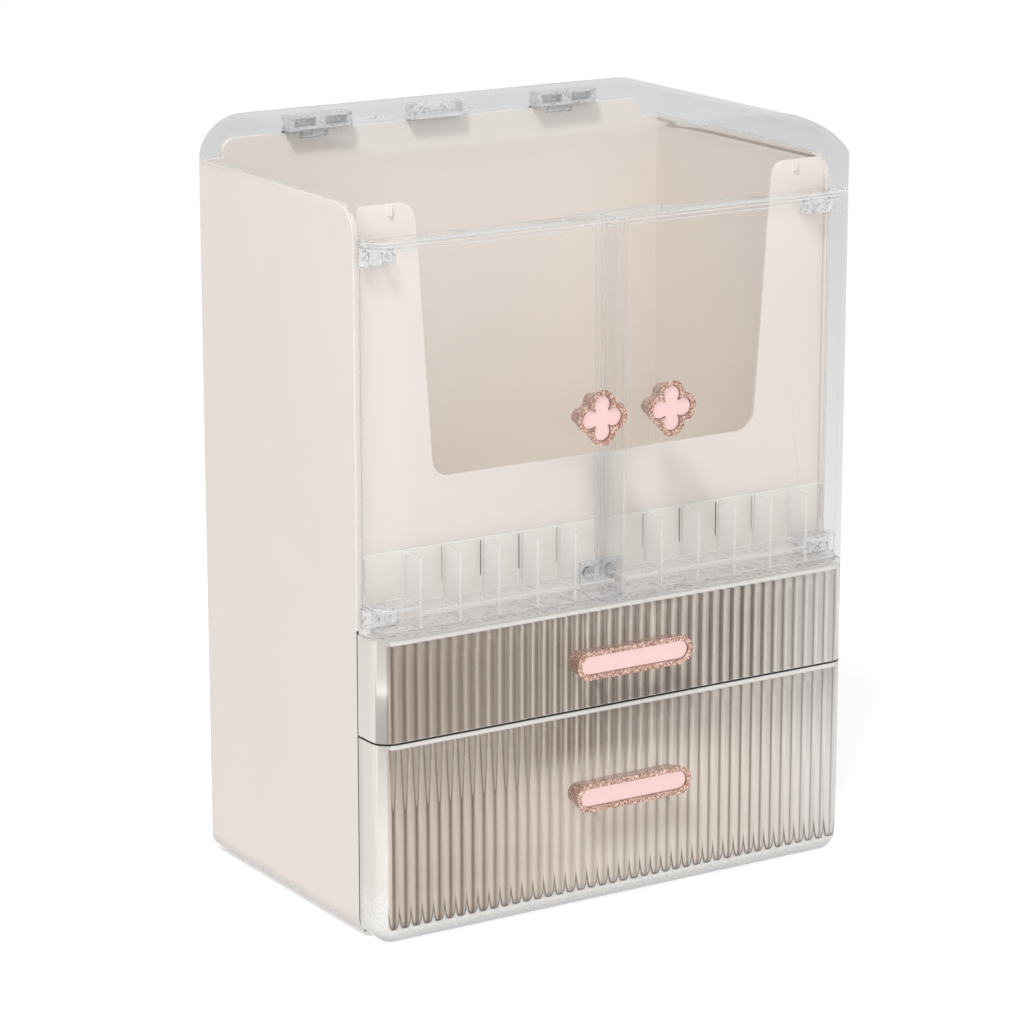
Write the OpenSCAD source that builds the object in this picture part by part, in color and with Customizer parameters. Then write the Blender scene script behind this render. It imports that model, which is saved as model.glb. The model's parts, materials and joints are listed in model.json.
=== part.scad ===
// Dustproof makeup organizer: cream cabinet, clear flip lid, two clear doors with
// lipstick racks, and two clear drawers with fluted fronts.
// Millimetres. +Z is up, the front faces -Y, and the feet stand on z = 0.

/* [Cabinet] */
// Overall width of the cabinet
body_w = 260; // [240:1:300]
// Depth of the cabinet, from the door faces to the back
body_d = 166; // [150:1:200]
// Height from the table to the top of the lid
body_h = 361; // [345:1:400]
// Thickness of the cream walls
wall_t = 3; // [2.4:0.1:4]
// Width of the clear band of lid and fronts around the cream sides
band_w = 20; // [19:0.5:26]
// Radius of the upper long edges
top_edge_r = 24; // [16:1:30]
// Radius of the lower edges and of the front upright corners
edge_r = 10; // [9:0.5:12]
// Radius of the back upright corners
back_corner_r = 3; // [2.8:0.1:6]
// Radius of the front upper corner of each cream side
side_corner_r = 14.5; // [12:0.5:24]
// Seam between the cream sides and the clear pieces
seam_gap = 0.4; // [0.3:0.05:0.8]
// Depth of the groove inside each side, under its top edge
side_groove_d = 1.2; // [0.8:0.1:1.6]
// Height of that groove
side_groove_h = 2; // [1:0.1:3]
// Distance of the groove below the top edge
side_groove_down = 2; // [1.5:0.1:4]

/* [Back edge] */
// Height of the raised cream lip at the back
lip_h = 9; // [7:0.5:11]
// Distance of the lip's ends from the sides
lip_inset = 12; // [10:0.5:20]
// Radius of the lip's upper corners
lip_r = 7; // [4:0.5:8]
// Gap around the lip inside the lid's back strip
lip_gap = 1; // [0.8:0.1:1.6]
// How much smaller the radius of the strip's corners is than that of the lip's
lip_relief = 3; // [2.5:0.5:4]

/* [Feet] */
// How far the feet stand out of the base
foot_h = 1; // [0.6:0.1:2]
// Depth of the recess that holds each foot
foot_seat = 1; // [0.6:0.1:1.6]
// Radius of a foot
foot_r = 8; // [5:0.5:12]
// Distance of each foot's centre from the side and from the back
foot_inset = 22; // [18:1:40]

/* [Shelves and front board] */
// Thickness of the two shelves
shelf_t = 3; // [2:0.1:4]
// Height of the stop rib under each shelf
stop_h = 2; // [1.5:0.1:3]
// Thickness of the stop rib
stop_t = 2; // [1.5:0.1:4]
// Thickness of the front board
board_t = 2.5; // [2:0.1:4]
// Space between the doors and the front board
board_gap = 2; // [1.8:0.1:4]
// Height of the board's window sill above the compartment floor
notch_sill = 66; // [40:1:100]
// Width of the window at its sill
notch_sill_w = 176; // [120:1:190]
// Width of the window between the two upper tabs
notch_top_w = 194; // [140:1:206]
// Radius of the window's lower corners
notch_r = 9; // [4:0.5:14]
// Radius of the tabs' inner upper corners
tab_r = 8; // [4:0.5:12]
// Slope cut off the tabs' outer upper corners
tab_chamfer = 2; // [1:0.5:4]
// Distance of each tab's rib from the cabinet's outer side
tab_rib_in = 20; // [14:0.5:24]
// Height of each tab's rib
tab_rib_h = 5.5; // [4:0.5:16]
// Thickness of each tab's rib
tab_rib_t = 1.6; // [1:0.1:2.4]

/* [Drawers] */
// Height of the bottom drawer's front
bottom_front_h = 96.6; // [80:0.1:110]
// Height of the top drawer's front
top_front_h = 47.8; // [40:0.1:60]
// Gap between neighbouring fronts, doors and lid
front_gap = 0.9; // [0.6:0.05:1.5]
// Thickness of a drawer's front panel
panel_t = 3; // [2.6:0.1:3.6]
// Thickness of a front's side returns
return_t = 4.5; // [3.6:0.1:5]
// Radius of the upright corners inside a front
hollow_r = 1.5; // [1:0.1:2]
// Radius of the lower edges inside the bottom drawer's front
hollow_foot_r = 4; // [3.5:0.5:5]
// Distance between neighbouring flutes, before they are fitted to the width
flute_pitch = 6; // [5.6:0.1:8]
// Radius of each flute
flute_r = 5; // [4.8:0.1:8]
// Depth of each flute
flute_depth = 1.1; // [0.6:0.05:1.3]
// Height of the flutes' lower ends above the foot of the bottom drawer's front
flute_foot = 11.5; // [11:0.5:24]
// Thickness of the tray walls
tray_t = 2; // [1.4:0.1:3]
// Gap between each tray and the cabinet's side
tray_side_gap = 2; // [2:0.1:3]
// Gap under each tray
slide_gap = 0.3; // [0.2:0.05:0.5]
// Space above each tray's side walls
tray_headroom = 6; // [4:0.5:12]
// Space above each tray's raised back wall
stop_gap = 0.8; // [0.5:0.1:1.2]
// Space behind each tray
tray_back_gap = 4; // [2:0.5:10]
// Radius of the trays' back corners
tray_back_r = 4; // [3:0.5:10]
// Radius of the trays' front corners
tray_front_r = 4; // [3:0.5:6]
// Radius of the trays' lower edges
tray_foot_r = 5; // [5:0.5:7]

/* [Handles] */
// Length of a drawer handle
handle_l = 64; // [40:1:100]
// Height of a drawer handle
handle_h = 14; // [12:0.5:18]
// How far the handles narrow towards the panel, on every side
handle_taper = 2; // [0.5:0.1:2.4]
// How far the handles and knobs stand out
pull_reach = 11.5; // [10.5:0.5:16]
// Width of the glitter rim around each inlay
rim_w = 2.6; // [2:0.1:3]
// Thickness of the inlays
inlay_t = 2; // [1.5:0.1:2.4]
// Depth of each inlay's face behind the rim's
inlay_sink = 1.2; // [0.4:0.1:1.6]
// Distance of the top handle's centre below its panel's upper edge
top_handle_drop = 24; // [16:0.5:30]
// Distance of the bottom handle's centre below its panel's upper edge
bottom_handle_drop = 39; // [20:0.5:60]
// Distance between the two screws of a handle
handle_screw_pitch = 40; // [20:1:44]

/* [Door knobs] */
// Radius of each of the knob's four lobes
lobe_r = 7; // [5:0.25:8]
// Distance of each lobe from the knob's centre
lobe_offset = 6.2; // [5:0.1:8]
// How far the knobs narrow towards the door, on every side
knob_taper = 3.4; // [1:0.1:3.6]
// Radius of the knob's core where it meets the door
core_r = 6.5; // [5:0.1:7]
// Distance of each knob from the middle of the cabinet
knob_x = 19; // [17:0.5:30]
// Height of the knobs above the doors' lower edge
knob_up = 91; // [70:1:120]

/* [Doors] */
// Thickness of the doors' clear walls
door_t = 2.5; // [2:0.1:3]
// Distance of each door pivot from the door's outer and back faces
pivot_inset = 3.8; // [3.6:0.1:4.4]
// Gap between the two doors
door_split = 0.6; // [0.4:0.1:1.2]
// Radius of the door pivot pins
pivot_pin_r = 1.4; // [1:0.1:1.6]
// Radius of the eye around each pivot pin
pivot_eye_r = 3; // [2.8:0.1:3.2]
// Height of each hinge bracket
bracket_h = 8; // [7:0.5:12]
// Width of each hinge bracket
bracket_w = 18; // [15:0.5:19]
// Gap above and below each hinge bracket
bracket_gap = 0.3; // [0.2:0.05:0.6]
// Distance of each bracket's screw from the bracket's inner end
bracket_screw_in = 5; // [4:0.5:6]

/* [Lipstick racks] */
// Height of the racks above the doors' floor
rack_h = 33; // [28:0.5:50]
// Thickness of the racks' back and floor
rack_t = 1.8; // [1.4:0.1:2.4]
// Thickness of the racks' dividers
divider_t = 1.5; // [1:0.1:2.5]
// Number of slots in each rack
slot_count = 6; // [4:1:7]
// Height of the racks' floor above the doors' floor
rack_floor_up = 6; // [4:0.5:7]
// Gap between each rack and its door
rack_gap = 0.4; // [0.3:0.05:0.8]

/* [Door catch] */
// Width of the catch plate behind the doors' meeting edges
catch_w = 20; // [20:0.5:26]
// Height of the catch plate
catch_h = 12; // [9:0.5:16]
// Gap between the catch plate and the doors
catch_gap = 0.3; // [0.2:0.05:0.6]
// Radius of the magnets and of the steel discs
magnet_r = 2.8; // [2:0.1:3]
// Thickness of the magnets
magnet_t = 1.2; // [0.8:0.1:1.4]
// Thickness of the steel discs on the doors
strike_t = 0.8; // [0.5:0.1:1]

/* [Lid] */
// Thickness of the lid
lid_t = 2.5; // [2:0.1:3]
// Distance of the hinge axis in front of the back face
hinge_in = 1; // [0.8:0.1:1.4]
// Radius of the hinge barrels
barrel_r = 3; // [2.8:0.1:3.2]
// Radius of the lid's hinge pins
hinge_pin_r = 1.25; // [1:0.05:1.4]
// Distance of each lid hinge from the middle of the cabinet
hinge_x = 69; // [40:1:90]
// Width of each lid hinge block
hinge_block_w = 34; // [32:1:44]
// Depth of each lid hinge block
hinge_block_d = 8; // [6:0.5:12]
// Length of the lid's barrel in each hinge
lid_barrel_l = 14; // [10:1:18]
// Length of each cream barrel beside it
body_barrel_l = 8; // [5:0.5:10]
// Gap between the ends of the barrels
barrel_gap = 0.3; // [0.2:0.05:0.6]
// Width of the tab between the hinges
mid_tab_w = 30; // [16:1:40]
// Distance of the tab's middle to the left of the cabinet's middle
mid_tab_shift = 4; // [0:0.5:10]
// Depth of the tab
mid_tab_d = 7; // [4:0.5:10]
// Wall thickness of the tab
mid_tab_t = 1.6; // [1.2:0.1:2.4]
// Width of the finger lip inside the lid's front edge
lift_lip_w = 52; // [30:1:80]
// Depth of the finger lip
lift_lip_d = 7; // [4:0.5:10]

/* [Screws and fits] */
// Radius of the screws' shanks
screw_r = 1.3; // [1:0.05:1.4]
// Radius of the screws' heads
screw_head_r = 2.6; // [2.2:0.1:3]
// Height of the screws' heads
screw_head_h = 1.6; // [1.2:0.1:2.2]
// How deep the screws reach into a handle or knob
screw_bite = 6; // [4:0.5:6.5]
// Radial clearance of a pin that turns in its hole
run_clear = 0.05; // [0.02:0.01:0.1]
// Radial clearance of a pin or screw that is held still
hold_clear = 0.02; // [0.01:0.01:0.05]

/* [Hidden] */
$fn = 48;
e = 0.01;         // how far a cutting tool passes the face it cuts
far = 500;        // longer than any size of the cabinet
tab_drop = 1;     // top of the tabs below the top of the cream sides
flange_t = 1.2;   // thickness of the flange that carries a steel disc
flange_over = 1;  // how far the flange passes the catch plate's end
slot_w = 0.6;     // width of the cross slot in a screw's head
catch_up = 1;     // height of the catch plate above the doors' floor
inlay_fit = 0.1;  // gap around each inlay
waist_in = 0.1;   // how far a knob's core stays inside its lobes' waists

cream = "#E4DCD2";
clear = "#C9D2D6A0";
fluted = "#B5ABA1C0";
glitter = "#B98A78";
pink = "#F6CFCF";
steel = "#B8BCC0";
rubber = "#D8D4CE";

// Depth levels, from the door faces towards the back
hinge_reach = barrel_r - hinge_in;
front_y = -(body_d - pull_reach + hinge_reach) / 2;
back_y = front_y + body_d;
fronts_back_y = front_y + band_w;
shell_front_y = fronts_back_y + seam_gap;
board_y = fronts_back_y + board_gap;
half_w = body_w / 2;
inner_w = body_w - 2 * wall_t;

// Height levels, from the table up
base_top_z = foot_h + wall_t;
bottom_front_top = foot_h + bottom_front_h;
shelf_top_z = bottom_front_top + front_gap / 2;
top_front_z = bottom_front_top + front_gap;
top_front_top = top_front_z + top_front_h;
floor_top_z = top_front_top + front_gap / 2;
door_z = top_front_top + front_gap;
side_top_z = body_h - band_w;
lid_edge_z = side_top_z - side_corner_r;
door_top_z = lid_edge_z - front_gap;
lip_top_z = side_top_z + lip_h;
strip_z = lip_top_z + lip_gap;
tab_top_z = side_top_z - tab_drop;
groove_top_z = side_top_z - side_groove_down;

// Outer radius of the lid's front edge, on the same centre as the cream sides' corners
front_top_r = side_corner_r + band_w;

// Lid hinge axis
hinge_y = back_y - hinge_in;
hinge_z = lip_top_z - lip_gap / 2;
barrel_clear = 0.4;
hinge_half_l = lid_barrel_l / 2 + barrel_gap + body_barrel_l;

// Door pivots and brackets
pivot_x = half_w - pivot_inset;
pivot_y = fronts_back_y - pivot_inset;
lower_bracket_z = door_z + door_t + bracket_gap;
upper_bracket_z = door_top_z - door_t - bracket_gap - bracket_h;
bracket_room = bracket_h + 2 * bracket_gap;
bracket_screw_x = bracket_w - bracket_screw_in;

// A rectangle from (x0, y0) to (x1, y1) with its own radius at each corner:
// lower left, lower right, upper right, upper left
module soft_rect(x0, y0, x1, y1, radii) {
    corners = [[x0, y0, 1, 1], [x1, y0, -1, 1], [x1, y1, -1, -1], [x0, y1, 1, -1]];
    difference() {
        translate([x0, y0]) square([x1 - x0, y1 - y0]);
        for (i = [0:3]) if (radii[i] > 0)
            translate([corners[i][0], corners[i][1]])
                scale_corner(corners[i][2], corners[i][3], radii[i]);
    }
}

// The waste outside a corner's arc, turned towards the inside of the shape
module scale_corner(sx, sy, r) {
    difference() {
        translate([sx > 0 ? -e : -r, sy > 0 ? -e : -r]) square(r + e);
        translate([sx * r, sy * r]) circle(r);
    }
}

// A plan shape, from z0 to z1
module plan_block(z0, z1) {
    translate([0, 0, z0]) linear_extrude(z1 - z0) children();
}

// A shape drawn as seen from the front, from depth y0 to y1
module front_block(y0, y1) {
    translate([0, y1, 0]) rotate([90, 0, 0]) linear_extrude(y1 - y0) children();
}

// A shape drawn as seen from the right side, from x0 to x1
module side_block(x0, x1) {
    translate([x0, 0, 0]) rotate([90, 0, 90]) linear_extrude(x1 - x0) children();
}

// A plain box between two corners
module box(low, high) {
    translate(low) cube(high - low);
}

// A cylinder along Y, from depth y0 to y1
module rod_y(x, z, y0, y1, r) {
    translate([x, y1, z]) rotate([90, 0, 0]) cylinder(h = y1 - y0, r = r);
}

// A cylinder along X, from x0 to x1
module rod_x(y, z, x0, x1, r) {
    translate([x0, y, z]) rotate([0, 90, 0]) cylinder(h = x1 - x0, r = r);
}

// The whole outer form of the organizer, moved in by "inset" on every side
module outer_form(inset) {
    intersection() {
        front_block(front_y - e, back_y + e)
            soft_rect(-half_w + inset, foot_h + inset, half_w - inset, body_h - inset,
                [edge_r - inset, edge_r - inset, top_edge_r - inset, top_edge_r - inset]);
        plan_block(0, body_h + e)
            soft_rect(-half_w, front_y + inset, half_w, back_y - inset,
                [edge_r, edge_r, back_corner_r, back_corner_r]);
        side_block(-half_w - e, half_w + e)
            soft_rect(front_y + inset, foot_h + inset, back_y - inset, body_h - inset,
                [edge_r - inset, 0, 0, front_top_r - inset]);
    }
}

// The side outline of the cream cabinet, grown by "grow" towards the lid and the fronts
module side_outline(grow) {
    soft_rect(shell_front_y - grow, 0, back_y + 1, side_top_z + grow,
        [0, 0, 0, side_corner_r + grow]);
}

// The barrels' clearance cut, from x0 to x1
module barrel_cut(x0, x1) {
    rod_x(hinge_y, hinge_z, x0, x1, barrel_r + barrel_clear);
}

module cabinet_shell() {
    color(cream) difference() {
        union() {
            difference() {
                intersection() {
                    outer_form(0);
                    side_block(-half_w, half_w) side_outline(0);
                }
                box([-inner_w / 2, front_y, base_top_z], [inner_w / 2, back_y - wall_t, far]);
                // grooves inside the sides, from the front board to the back wall
                box([-inner_w / 2 - side_groove_d, board_y + board_t, groove_top_z - side_groove_h],
                    [inner_w / 2 + side_groove_d, back_y - wall_t, groove_top_z]);
            }
            // raised lip along the back wall
            front_block(back_y - wall_t, back_y)
                soft_rect(-half_w + lip_inset, side_top_z - wall_t, half_w - lip_inset, lip_top_z,
                    [0, 0, lip_r, lip_r]);
            for (side = [-1, 1])
                rod_x(hinge_y, hinge_z, side * hinge_x - hinge_half_l,
                    side * hinge_x + hinge_half_l, barrel_r);
        }
        for (side = [-1, 1]) {
            lid_part = lid_barrel_l / 2 + barrel_gap;
            barrel_cut(side * hinge_x - lid_part, side * hinge_x + lid_part);
            rod_x(hinge_y, hinge_z, side * hinge_x - hinge_half_l - e,
                side * hinge_x + hinge_half_l + e, hinge_pin_r + hold_clear);
        }
        for (place = foot_places())
            translate([place[0], place[1], 0])
                cylinder(h = foot_h + foot_seat, r = foot_r + hold_clear);
    }
}

// A shelf between the cream walls, with its stop rib for the drawer below it
module shelf(top_z) {
    box([-inner_w / 2, shell_front_y, top_z - shelf_t], [inner_w / 2, back_y - wall_t, top_z]);
    box([-inner_w / 2, shell_front_y, top_z - shelf_t - stop_h],
        [inner_w / 2, shell_front_y + stop_t, top_z - shelf_t + e]);
}

module compartment_floor() {
    color(cream) shelf(floor_top_z);
}

module drawer_shelf() {
    color(cream) shelf(shelf_top_z);
}

module front_board() {
    sill_z = floor_top_z + notch_sill;
    color(cream) for (side = [-1, 1])
        translate([side * (half_w - tab_rib_in) - tab_rib_t / 2, shell_front_y, tab_top_z - tab_rib_h])
            cube([tab_rib_t, board_gap - seam_gap + e, tab_rib_h]);
    color(cream) difference() {
        front_block(board_y, board_y + board_t) difference() {
            polygon([
                [-inner_w / 2, floor_top_z], [inner_w / 2, floor_top_z],
                [inner_w / 2, tab_top_z - 2 * tab_chamfer],
                [inner_w / 2 - tab_chamfer, tab_top_z],
                [-inner_w / 2 + tab_chamfer, tab_top_z],
                [-inner_w / 2, tab_top_z - 2 * tab_chamfer]
            ]);
            window_outline(sill_z);
            for (side = [-1, 1]) mirror([side > 0 ? 1 : 0, 0]) tab_corner();
        }
        for (side = [-1, 1], z = [lower_bracket_z, upper_bracket_z])
            rod_y(side * (half_w - bracket_screw_x), z + bracket_h / 2, board_y - e,
                board_y + board_t + e, screw_r + hold_clear);
    }
}

// The window between the tabs: straight slanted sides and round lower corners
module window_outline(sill_z) {
    slope = (notch_top_w - notch_sill_w) / 2 / (tab_top_z - sill_z);
    lean = atan(slope);
    inset = notch_r * tan((90 - lean) / 2);
    difference() {
        polygon([
            [-notch_sill_w / 2, sill_z], [notch_sill_w / 2, sill_z],
            [notch_top_w / 2 + slope, tab_top_z + 1], [-notch_top_w / 2 - slope, tab_top_z + 1]
        ]);
        for (side = [-1, 1]) mirror([side > 0 ? 1 : 0, 0]) {
            // the waste in each lower corner, outside the corner's arc
            corner = [-notch_sill_w / 2, sill_z];
            centre = corner + [inset, notch_r];
            difference() {
                polygon([
                    corner + [-e, -e], corner + [inset, -e], centre,
                    centre + notch_r * [-cos(lean), -sin(lean)] + [-e, 0]
                ]);
                translate(centre) circle(notch_r);
            }
        }
    }
}

// The waste outside the round inner upper corner of the left tab
module tab_corner() {
    x = -notch_top_w / 2;
    difference() {
        translate([x - tab_r, tab_top_z - tab_r]) square([tab_r + 1, tab_r + 1]);
        translate([x - tab_r, tab_top_z - tab_r]) circle(tab_r);
    }
}

// A hinge bracket on the left side, its foot at height z
module bracket(z) {
    color(clear) difference() {
        union() {
            translate([-pivot_x, pivot_y, z]) cylinder(h = bracket_h, r = pivot_eye_r);
            box([-pivot_x, pivot_y - pivot_eye_r, z], [-half_w + bracket_w, board_y, z + bracket_h]);
        }
        translate([-pivot_x, pivot_y, z - e])
            cylinder(h = bracket_h + 2 * e, r = pivot_pin_r + run_clear);
        rod_y(-half_w + bracket_screw_x, z + bracket_h / 2, front_y, board_y + e,
            screw_r + hold_clear);
    }
}

module left_top_bracket() bracket(upper_bracket_z);
module left_bottom_bracket() bracket(lower_bracket_z);
module right_top_bracket() mirror([1, 0, 0]) bracket(upper_bracket_z);
module right_bottom_bracket() mirror([1, 0, 0]) bracket(lower_bracket_z);

// A screw along Y: its head's front face is at y0 and its tip at y1
module screw(x, z, y0, y1) {
    inward = y1 > y0 ? 1 : -1;
    neck = y0 + inward * screw_head_h;
    color(steel) difference() {
        union() {
            rod_y(x, z, min(y0, neck), max(y0, neck), screw_head_r);
            rod_y(x, z, min(neck, y1), max(neck, y1), screw_r);
        }
        // cross slot in the head
        for (turn = [0, 90])
            translate([x, y0, z]) rotate([0, turn, 0])
                cube([1.3 * screw_head_r, screw_head_h, slot_w], center = true);
    }
}

module bracket_screws() {
    for (side = [-1, 1], z = [lower_bracket_z, upper_bracket_z])
        screw(side * (half_w - bracket_screw_x), z + bracket_h / 2,
            pivot_y - pivot_eye_r - screw_head_h, board_y + board_t);
}

catch_z = door_z + door_t + catch_up;
magnet_x = door_split / 2 + door_t + magnet_r + catch_gap;
catch_face_y = fronts_back_y + catch_gap;

module door_catch() {
    color(clear) difference() {
        box([-catch_w / 2, catch_face_y, catch_z], [catch_w / 2, board_y, catch_z + catch_h]);
        for (side = [-1, 1])
            rod_y(side * magnet_x, catch_z + catch_h / 2, catch_face_y - e,
                catch_face_y + magnet_t, magnet_r + hold_clear);
    }
}

module catch_magnets() {
    color(steel) for (side = [-1, 1])
        rod_y(side * magnet_x, catch_z + catch_h / 2, catch_face_y, catch_face_y + magnet_t,
            magnet_r);
}

module lid_hinge_pins() {
    color(steel) for (side = [-1, 1])
        rod_x(hinge_y, hinge_z, side * hinge_x - hinge_half_l, side * hinge_x + hinge_half_l,
            hinge_pin_r);
}

function foot_places() = [
    for (x = [-half_w + foot_inset, half_w - foot_inset],
         y = [shell_front_y + foot_inset, back_y - foot_inset]) [x, y]
];

module rubber_feet() {
    color(rubber) for (place = foot_places())
        translate([place[0], place[1], 0]) cylinder(h = foot_h + foot_seat, r = foot_r);
}

module lid_cover() {
    color(clear) difference() {
        union() {
            difference() {
                outer_form(0);
                outer_form(lid_t);
                side_block(-far, far) side_outline(seam_gap);
                box([-far, front_y - 1, -1], [far, shell_front_y + side_corner_r, lid_edge_z]);
            }
            mid_tab();
            // finger lip inside the lower front edge
            box([-lift_lip_w / 2, front_y + lid_t - e, lid_edge_z],
                [lift_lip_w / 2, front_y + lid_t + lift_lip_d, lid_edge_z + lid_t]);
        }
        // opening of the back strip, around the cream lip
        front_block(back_y - 2 * lid_t, back_y + 1)
            soft_rect(-half_w + lip_inset - lip_gap, side_top_z - 1,
                half_w - lip_inset + lip_gap, strip_z,
                [0, 0, lip_r - lip_relief, lip_r - lip_relief]);
        for (side = [-1, 1]) {
            cut_half = hinge_half_l + barrel_gap;
            barrel_cut(side * hinge_x - cut_half, side * hinge_x + cut_half);
        }
    }
}

// The open tab under the lid's plate, between the hinges
module mid_tab() {
    x0 = -mid_tab_shift - mid_tab_w / 2;
    x1 = x0 + mid_tab_w;
    y0 = back_y - lid_t - mid_tab_d;
    y1 = back_y - lid_t + e;
    z1 = body_h - lid_t + e;
    box([x0, y0, strip_z], [x0 + mid_tab_t, y1, z1]);
    box([x1 - mid_tab_t, y0, strip_z], [x1, y1, z1]);
    box([x0, y0, strip_z], [x1, y1, strip_z + mid_tab_t]);
}

// A lid hinge around x: a block under the lid's plate and its barrel
module lid_hinge(x) {
    block_back = back_y - lid_t;
    block_z = strip_z + barrel_clear;
    color(clear) difference() {
        union() {
            difference() {
                box([x - hinge_block_w / 2, block_back - hinge_block_d, block_z],
                    [x + hinge_block_w / 2, block_back, body_h - lid_t]);
                barrel_cut(x - hinge_block_w, x + hinge_block_w);
                // two pockets from the front, with a web between them
                for (side = [-1, 1])
                    box([x + side * hinge_block_w / 4 - hinge_block_w / 6,
                            block_back - hinge_block_d - e, block_z + mid_tab_t],
                        [x + side * hinge_block_w / 4 + hinge_block_w / 6,
                            block_back - hinge_block_d / 3, body_h - lid_t - mid_tab_t]);
            }
            rod_x(hinge_y, hinge_z, x - lid_barrel_l / 2, x + lid_barrel_l / 2, barrel_r);
            // arm from the block to the barrel
            box([x - lid_barrel_l / 2, block_back - barrel_r, hinge_z],
                [x + lid_barrel_l / 2, hinge_y, hinge_z + barrel_r - barrel_clear / 2]);
        }
        rod_x(hinge_y, hinge_z, x - lid_barrel_l, x + lid_barrel_l, hinge_pin_r + run_clear);
    }
}

module left_lid_hinge() lid_hinge(-hinge_x);
module right_lid_hinge() lid_hinge(hinge_x);

// Plan outline of the left door, moved in by "inset"; its back edge stays open when inset
module door_outline(inset) {
    soft_rect(-half_w + inset, front_y + inset, -door_split / 2 - inset,
        fronts_back_y + (inset > 0 ? 1 : 0),
        [edge_r - inset, 0, 0, inset > 0 ? 0 : pivot_inset]);
}

flange_x = -catch_w / 2 - flange_over;
flange_y = fronts_back_y - strike_t - flange_t;

module left_door_panel() {
    knob_z = door_z + knob_up;
    color(clear) difference() {
        union() {
            difference() {
                plan_block(door_z, door_top_z) door_outline(0);
                plan_block(door_z + door_t, door_top_z - door_t) door_outline(door_t);
            }
            // flange that carries the steel disc
            box([flange_x, flange_y, door_z + door_t - e],
                [-door_split / 2 - door_t + e, fronts_back_y - strike_t, catch_z + catch_h]);
        }
        for (z = [door_z + door_t, door_top_z - door_t - bracket_room])
            box([-half_w - 1, pivot_y - pivot_inset, z],
                [-half_w + door_t + e, fronts_back_y + 1, z + bracket_room]);
        for (z = [door_z, door_top_z])
            translate([-pivot_x, pivot_y, z])
                cylinder(h = 3 * door_t, r = pivot_pin_r + hold_clear, center = true);
        rod_y(-knob_x, knob_z, front_y - 1, front_y + door_t + 1, screw_r + hold_clear);
    }
}

module left_lipstick_rack() {
    x0 = -half_w + door_t + rack_gap;
    x1 = -door_split / 2 - door_t - rack_gap;
    y0 = front_y + door_t;
    y1 = fronts_back_y - rack_gap / 2;
    z0 = door_z + door_t;
    z1 = z0 + rack_h;
    pitch = (x1 - x0) / slot_count;
    step_x = -half_w + bracket_w + rack_gap + divider_t;
    step_z = lower_bracket_z + bracket_h + bracket_gap;
    color(clear) difference() {
        plan_block(z0, z1)
            soft_rect(x0, y0, x1, y1, [edge_r - door_t, 0, 0, 0]);
        for (i = [0:slot_count - 1]) {
            left = x0 + i * pitch + (i > 0 ? divider_t / 2 : -1);
            right = x0 + (i + 1) * pitch - (i < slot_count - 1 ? divider_t / 2 : -1);
            floor_z = i > 0 ? z0 + rack_floor_up : step_z;
            box([left, y0 - 1, floor_z + rack_t], [right, y1 - rack_t, z1 + 1]);
            // space under the floor
            box([left, y0 - 1, z0 - 1], [right, y1 - rack_t, floor_z]);
        }
        // room for the lower hinge bracket and for the flange of the strike disc
        box([x0 - 1, y0 - 1, z0 - 1], [step_x, y1 + 1, step_z]);
        box([flange_x - rack_gap, flange_y - rack_gap, z0 - 1],
            [x1 + 1, y1 + 1, catch_z + catch_h + rack_gap]);
    }
}

module left_door_pins() {
    color(steel) {
        translate([-pivot_x, pivot_y, door_z])
            cylinder(h = door_t + bracket_room, r = pivot_pin_r);
        translate([-pivot_x, pivot_y, door_top_z - door_t - bracket_room])
            cylinder(h = door_t + bracket_room, r = pivot_pin_r);
    }
}

module left_strike_disc() {
    color(steel) rod_y(-magnet_x, catch_z + catch_h / 2, fronts_back_y - strike_t, fronts_back_y,
        magnet_r);
}

// Four-lobed outline, moved in by "inset"
module lobed_outline(inset) {
    for (turn = [0:90:270]) rotate(turn) translate([lobe_offset, 0]) circle(lobe_r - inset);
    square(lobe_offset + (lobe_r - inset) / 4, center = true);
}

// Bar outline with round ends, moved in by "inset"
module bar_outline(inset) {
    r = handle_h / 2 - inset;
    half = handle_l / 2 - handle_h / 2;
    translate([-half, -r]) square([2 * half, 2 * r]);
    for (side = [-1, 1]) translate([side * half, 0]) circle(r);
}

// A cone along Y at (x, z): radius back_r on the panel and face_r at the pull's face
module pull_cone(x, z, back_r, face_r) {
    translate([x, front_y, z]) rotate([90, 0, 0])
        cylinder(h = pull_reach, r1 = back_r, r2 = face_r);
}

// The knob's four tapered lobes and its core
module knob_body() {
    waist_r = sqrt(lobe_r * lobe_r - lobe_offset * lobe_offset / 2) + lobe_offset / sqrt(2);
    for (side = [-1, 1]) {
        pull_cone(side * lobe_offset, 0, lobe_r - knob_taper, lobe_r);
        pull_cone(0, side * lobe_offset, lobe_r - knob_taper, lobe_r);
    }
    pull_cone(0, 0, core_r, waist_r - waist_in);
}

// The handle's tapered bar with its round ends
module handle_body() {
    half = handle_l / 2 - handle_h / 2;
    face_r = handle_h / 2;
    back_r = face_r - handle_taper;
    for (side = [-1, 1]) pull_cone(side * half, 0, back_r, face_r);
    side_block(-half, half) polygon([
        [front_y, -back_r], [front_y, back_r],
        [front_y - pull_reach, face_r], [front_y - pull_reach, -face_r]
    ]);
}

// A glitter-rimmed pull at (x, z): its body, less the recess in its face and its screw holes
module pull_rim(x, z, screw_xs) {
    face = front_y - pull_reach;
    color(glitter) difference() {
        translate([x, 0, z]) children(0);
        translate([x, 0, z]) front_block(face - 1, face + inlay_sink + inlay_t) children(1);
        for (dx = screw_xs)
            rod_y(x + dx, z, front_y - screw_bite, front_y + 1, screw_r + hold_clear);
    }
}

// The inlay on the floor of a pull's recess
module pull_inlay(x, z) {
    inlay_y = front_y - pull_reach + inlay_sink;
    color(pink) translate([x, 0, z]) front_block(inlay_y, inlay_y + inlay_t) children();
}

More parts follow.
